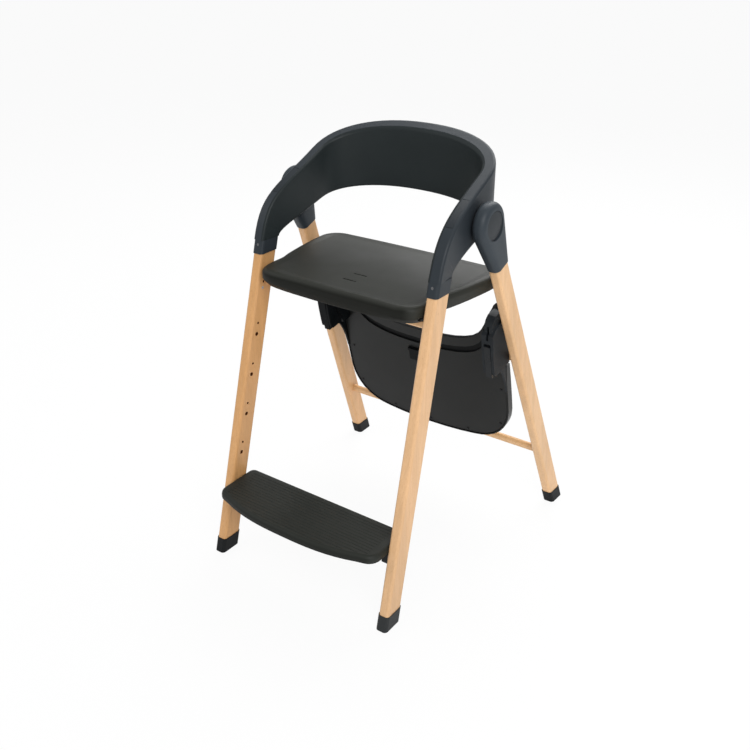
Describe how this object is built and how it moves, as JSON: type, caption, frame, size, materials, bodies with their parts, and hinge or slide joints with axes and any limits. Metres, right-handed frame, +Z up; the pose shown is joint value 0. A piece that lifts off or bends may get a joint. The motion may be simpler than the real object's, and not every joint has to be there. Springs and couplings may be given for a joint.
{
  "type": "children's high chair",
  "caption": "Folding beech high chair with a moulded horseshoe arm and back band, peg-mounted seat and footrest, and its tray stored on the rear legs.",
  "frame": {"origin": "on the floor, at the middle of the chair's footprint, which is the bottom centre of its bounding box", "axes": "+Z up, the chair faces -Y, +X is to the chair's left as one sits in it; the chair is mirrored about X = 0"},
  "size_m": [0.5758, 0.656, 0.8489],
  "materials": {
    "beech": "satin clear lacquer",
    "band_plastic": "fine matt, charcoal blue-grey",
    "band_inner_plastic": "fine matt, charcoal",
    "cap_plastic": "matt",
    "button_plastic": "matt, plain",
    "seat_plastic": "matt, warm charcoal grey",
    "footrest_plastic": "matt with fine ribs",
    "tray_plastic": "satin",
    "tray_panel_plastic": "satin",
    "tray_gloss": "gloss black",
    "black_plastic": "matt black",
    "screw_steel": "plain",
    "black_screw": "black"
  },
  "bodies": {
    "front_frame": {"front_leg_left": "beech", "front_leg_right": "beech", "front_foot_cap_left": "cap_plastic", "front_foot_cap_right": "cap_plastic", "leg_socket_left": "band_plastic", "leg_socket_right": "band_plastic", "socket_screws": "screw_steel", "hoop_outer_shell": "band_plastic", "hoop_inner_shell": "band_inner_plastic", "arm_cover_left": "band_plastic", "arm_cover_right": "band_plastic", "hub_plate_left": "cap_plastic", "hub_plate_right": "cap_plastic", "pivot_bolt_left": "screw_steel", "pivot_bolt_right": "screw_steel", "seat_plate": "seat_plastic", "seat_bracket_left": "black_plastic", "seat_bracket_right": "black_plastic", "seat_pins": "screw_steel", "seat_rail": "beech", "footrest_plate": "footrest_plastic", "footrest_bracket_left": "black_plastic", "footrest_bracket_right": "black_plastic", "footrest_pins": "screw_steel"},
    "rear_frame": {"rear_leg_left": "beech", "rear_leg_right": "beech", "rear_foot_cap_left": "cap_plastic", "rear_foot_cap_right": "cap_plastic", "hub_housing_left": "band_plastic", "hub_housing_right": "band_plastic", "lower_crossbar": "beech", "upper_crossbar": "beech", "tray_hanger_left": "black_plastic", "tray_hanger_right": "black_plastic"},
    "hub_button_left": {"hub_button_left": "button_plastic"},
    "hub_button_right": {"hub_button_right": "button_plastic"},
    "tray": {"tray_shell": "tray_plastic", "tray_base": "tray_panel_plastic", "tray_latch_left": "tray_gloss", "tray_latch_right": "tray_gloss", "tray_clip": "tray_gloss", "tray_screws": "black_screw"},
    "tray_lever_left": {"tray_lever_left": "tray_gloss"},
    "tray_lever_right": {"tray_lever_right": "tray_gloss"}
  },
  "joints": [
    {"name": "rear_fold", "type": "hinge", "parent": "front_frame", "child": "rear_frame", "pos_m": [0, 0.016, 0.719], "axis": [-1, 0, 0], "range_deg": [0, 33]},
    {"name": "lock_button_left", "type": "slide", "parent": "rear_frame", "child": "hub_button_left", "axis": [1, 0, 0], "range_m": [0, 0.003], "stiffness_N_per_m": 1500, "springref_m": -0.001},
    {"name": "lock_button_right", "type": "slide", "parent": "rear_frame", "child": "hub_button_right", "axis": [-1, 0, 0], "range_m": [0, 0.003], "stiffness_N_per_m": 1500, "springref_m": -0.001},
    {"name": "tray_lift_off", "type": "slide", "parent": "rear_frame", "child": "tray", "axis": [0, -0.9397, 0.342], "range_m": [0, 0.032]},
    {"name": "tray_lever_left_squeeze", "type": "hinge", "parent": "tray", "child": "tray_lever_left", "pos_m": [-0.2065, 0.07654, 0.45141], "axis": [1, 0, 0], "range_deg": [0, 7], "stiffness_Nm_per_rad": 0.6, "springref_deg": -5.73},
    {"name": "tray_lever_right_squeeze", "type": "hinge", "parent": "tray", "child": "tray_lever_right", "pos_m": [0.2065, 0.07654, 0.45141], "axis": [1, 0, 0], "range_deg": [0, 7], "stiffness_Nm_per_rad": 0.6, "springref_deg": -5.73}
  ]
}
